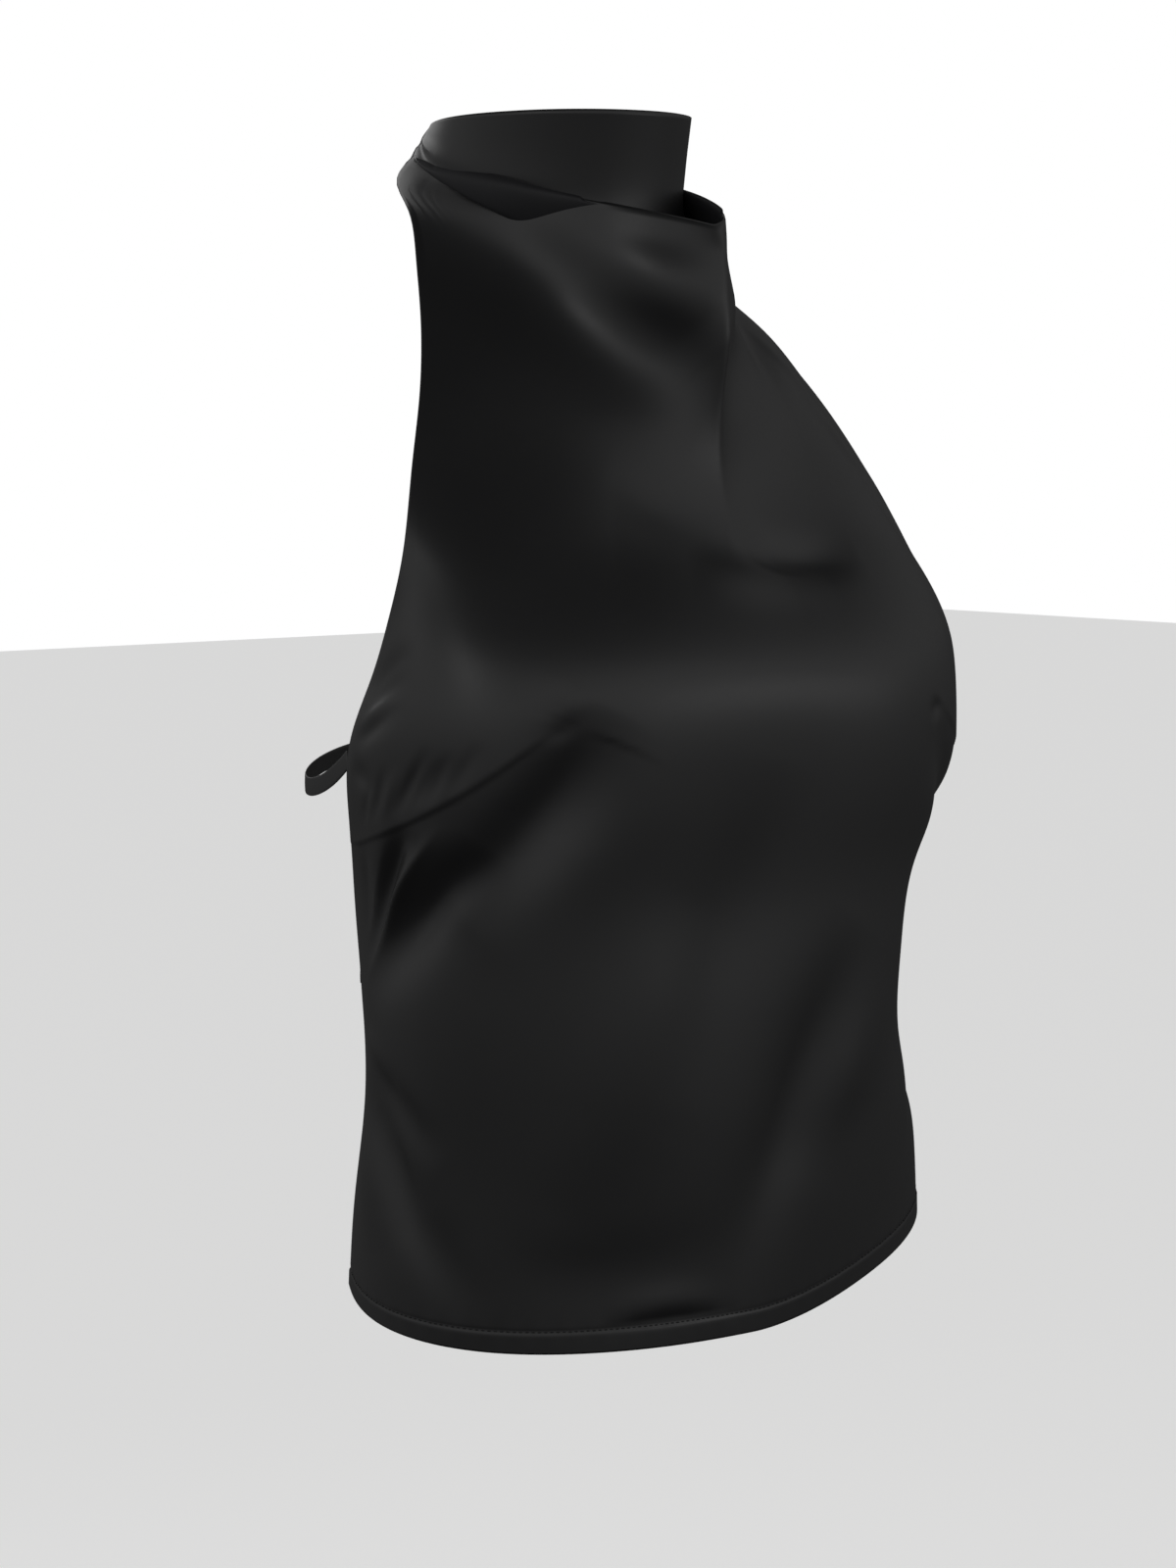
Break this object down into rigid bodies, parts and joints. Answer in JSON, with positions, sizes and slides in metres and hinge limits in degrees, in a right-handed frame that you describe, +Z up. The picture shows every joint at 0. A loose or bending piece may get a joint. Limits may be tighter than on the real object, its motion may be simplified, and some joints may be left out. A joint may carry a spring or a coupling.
{
  "type": "tank top",
  "caption": "Sleeveless draped satin top with a grown-on cowl and mock collar, bust darts and an open back with two narrow straps.",
  "frame": {"origin": "centre of the neck at the height where the collar rests on it", "axes": "+Z up, the wearer faces -Y, the wearer's left is +X"},
  "size_m": [0.3006, 0.2477, 0.5132],
  "materials": {
    "satin": "woven satin, charcoal black",
    "strap_satin": "double satin strap, charcoal black",
    "nickel": "polished nickel",
    "resin": "black resin"
  },
  "bodies": {
    "root": {"front_panel": "satin", "nape_band_right": "satin", "nape_band_left": "satin", "nape_button_1": "resin", "nape_button_2": "resin", "upper_strap": "strap_satin", "ring_tab": "strap_satin", "strap_ring": "nickel", "lower_strap": "strap_satin", "strap_slider": "nickel"}
  },
  "joints": []
}
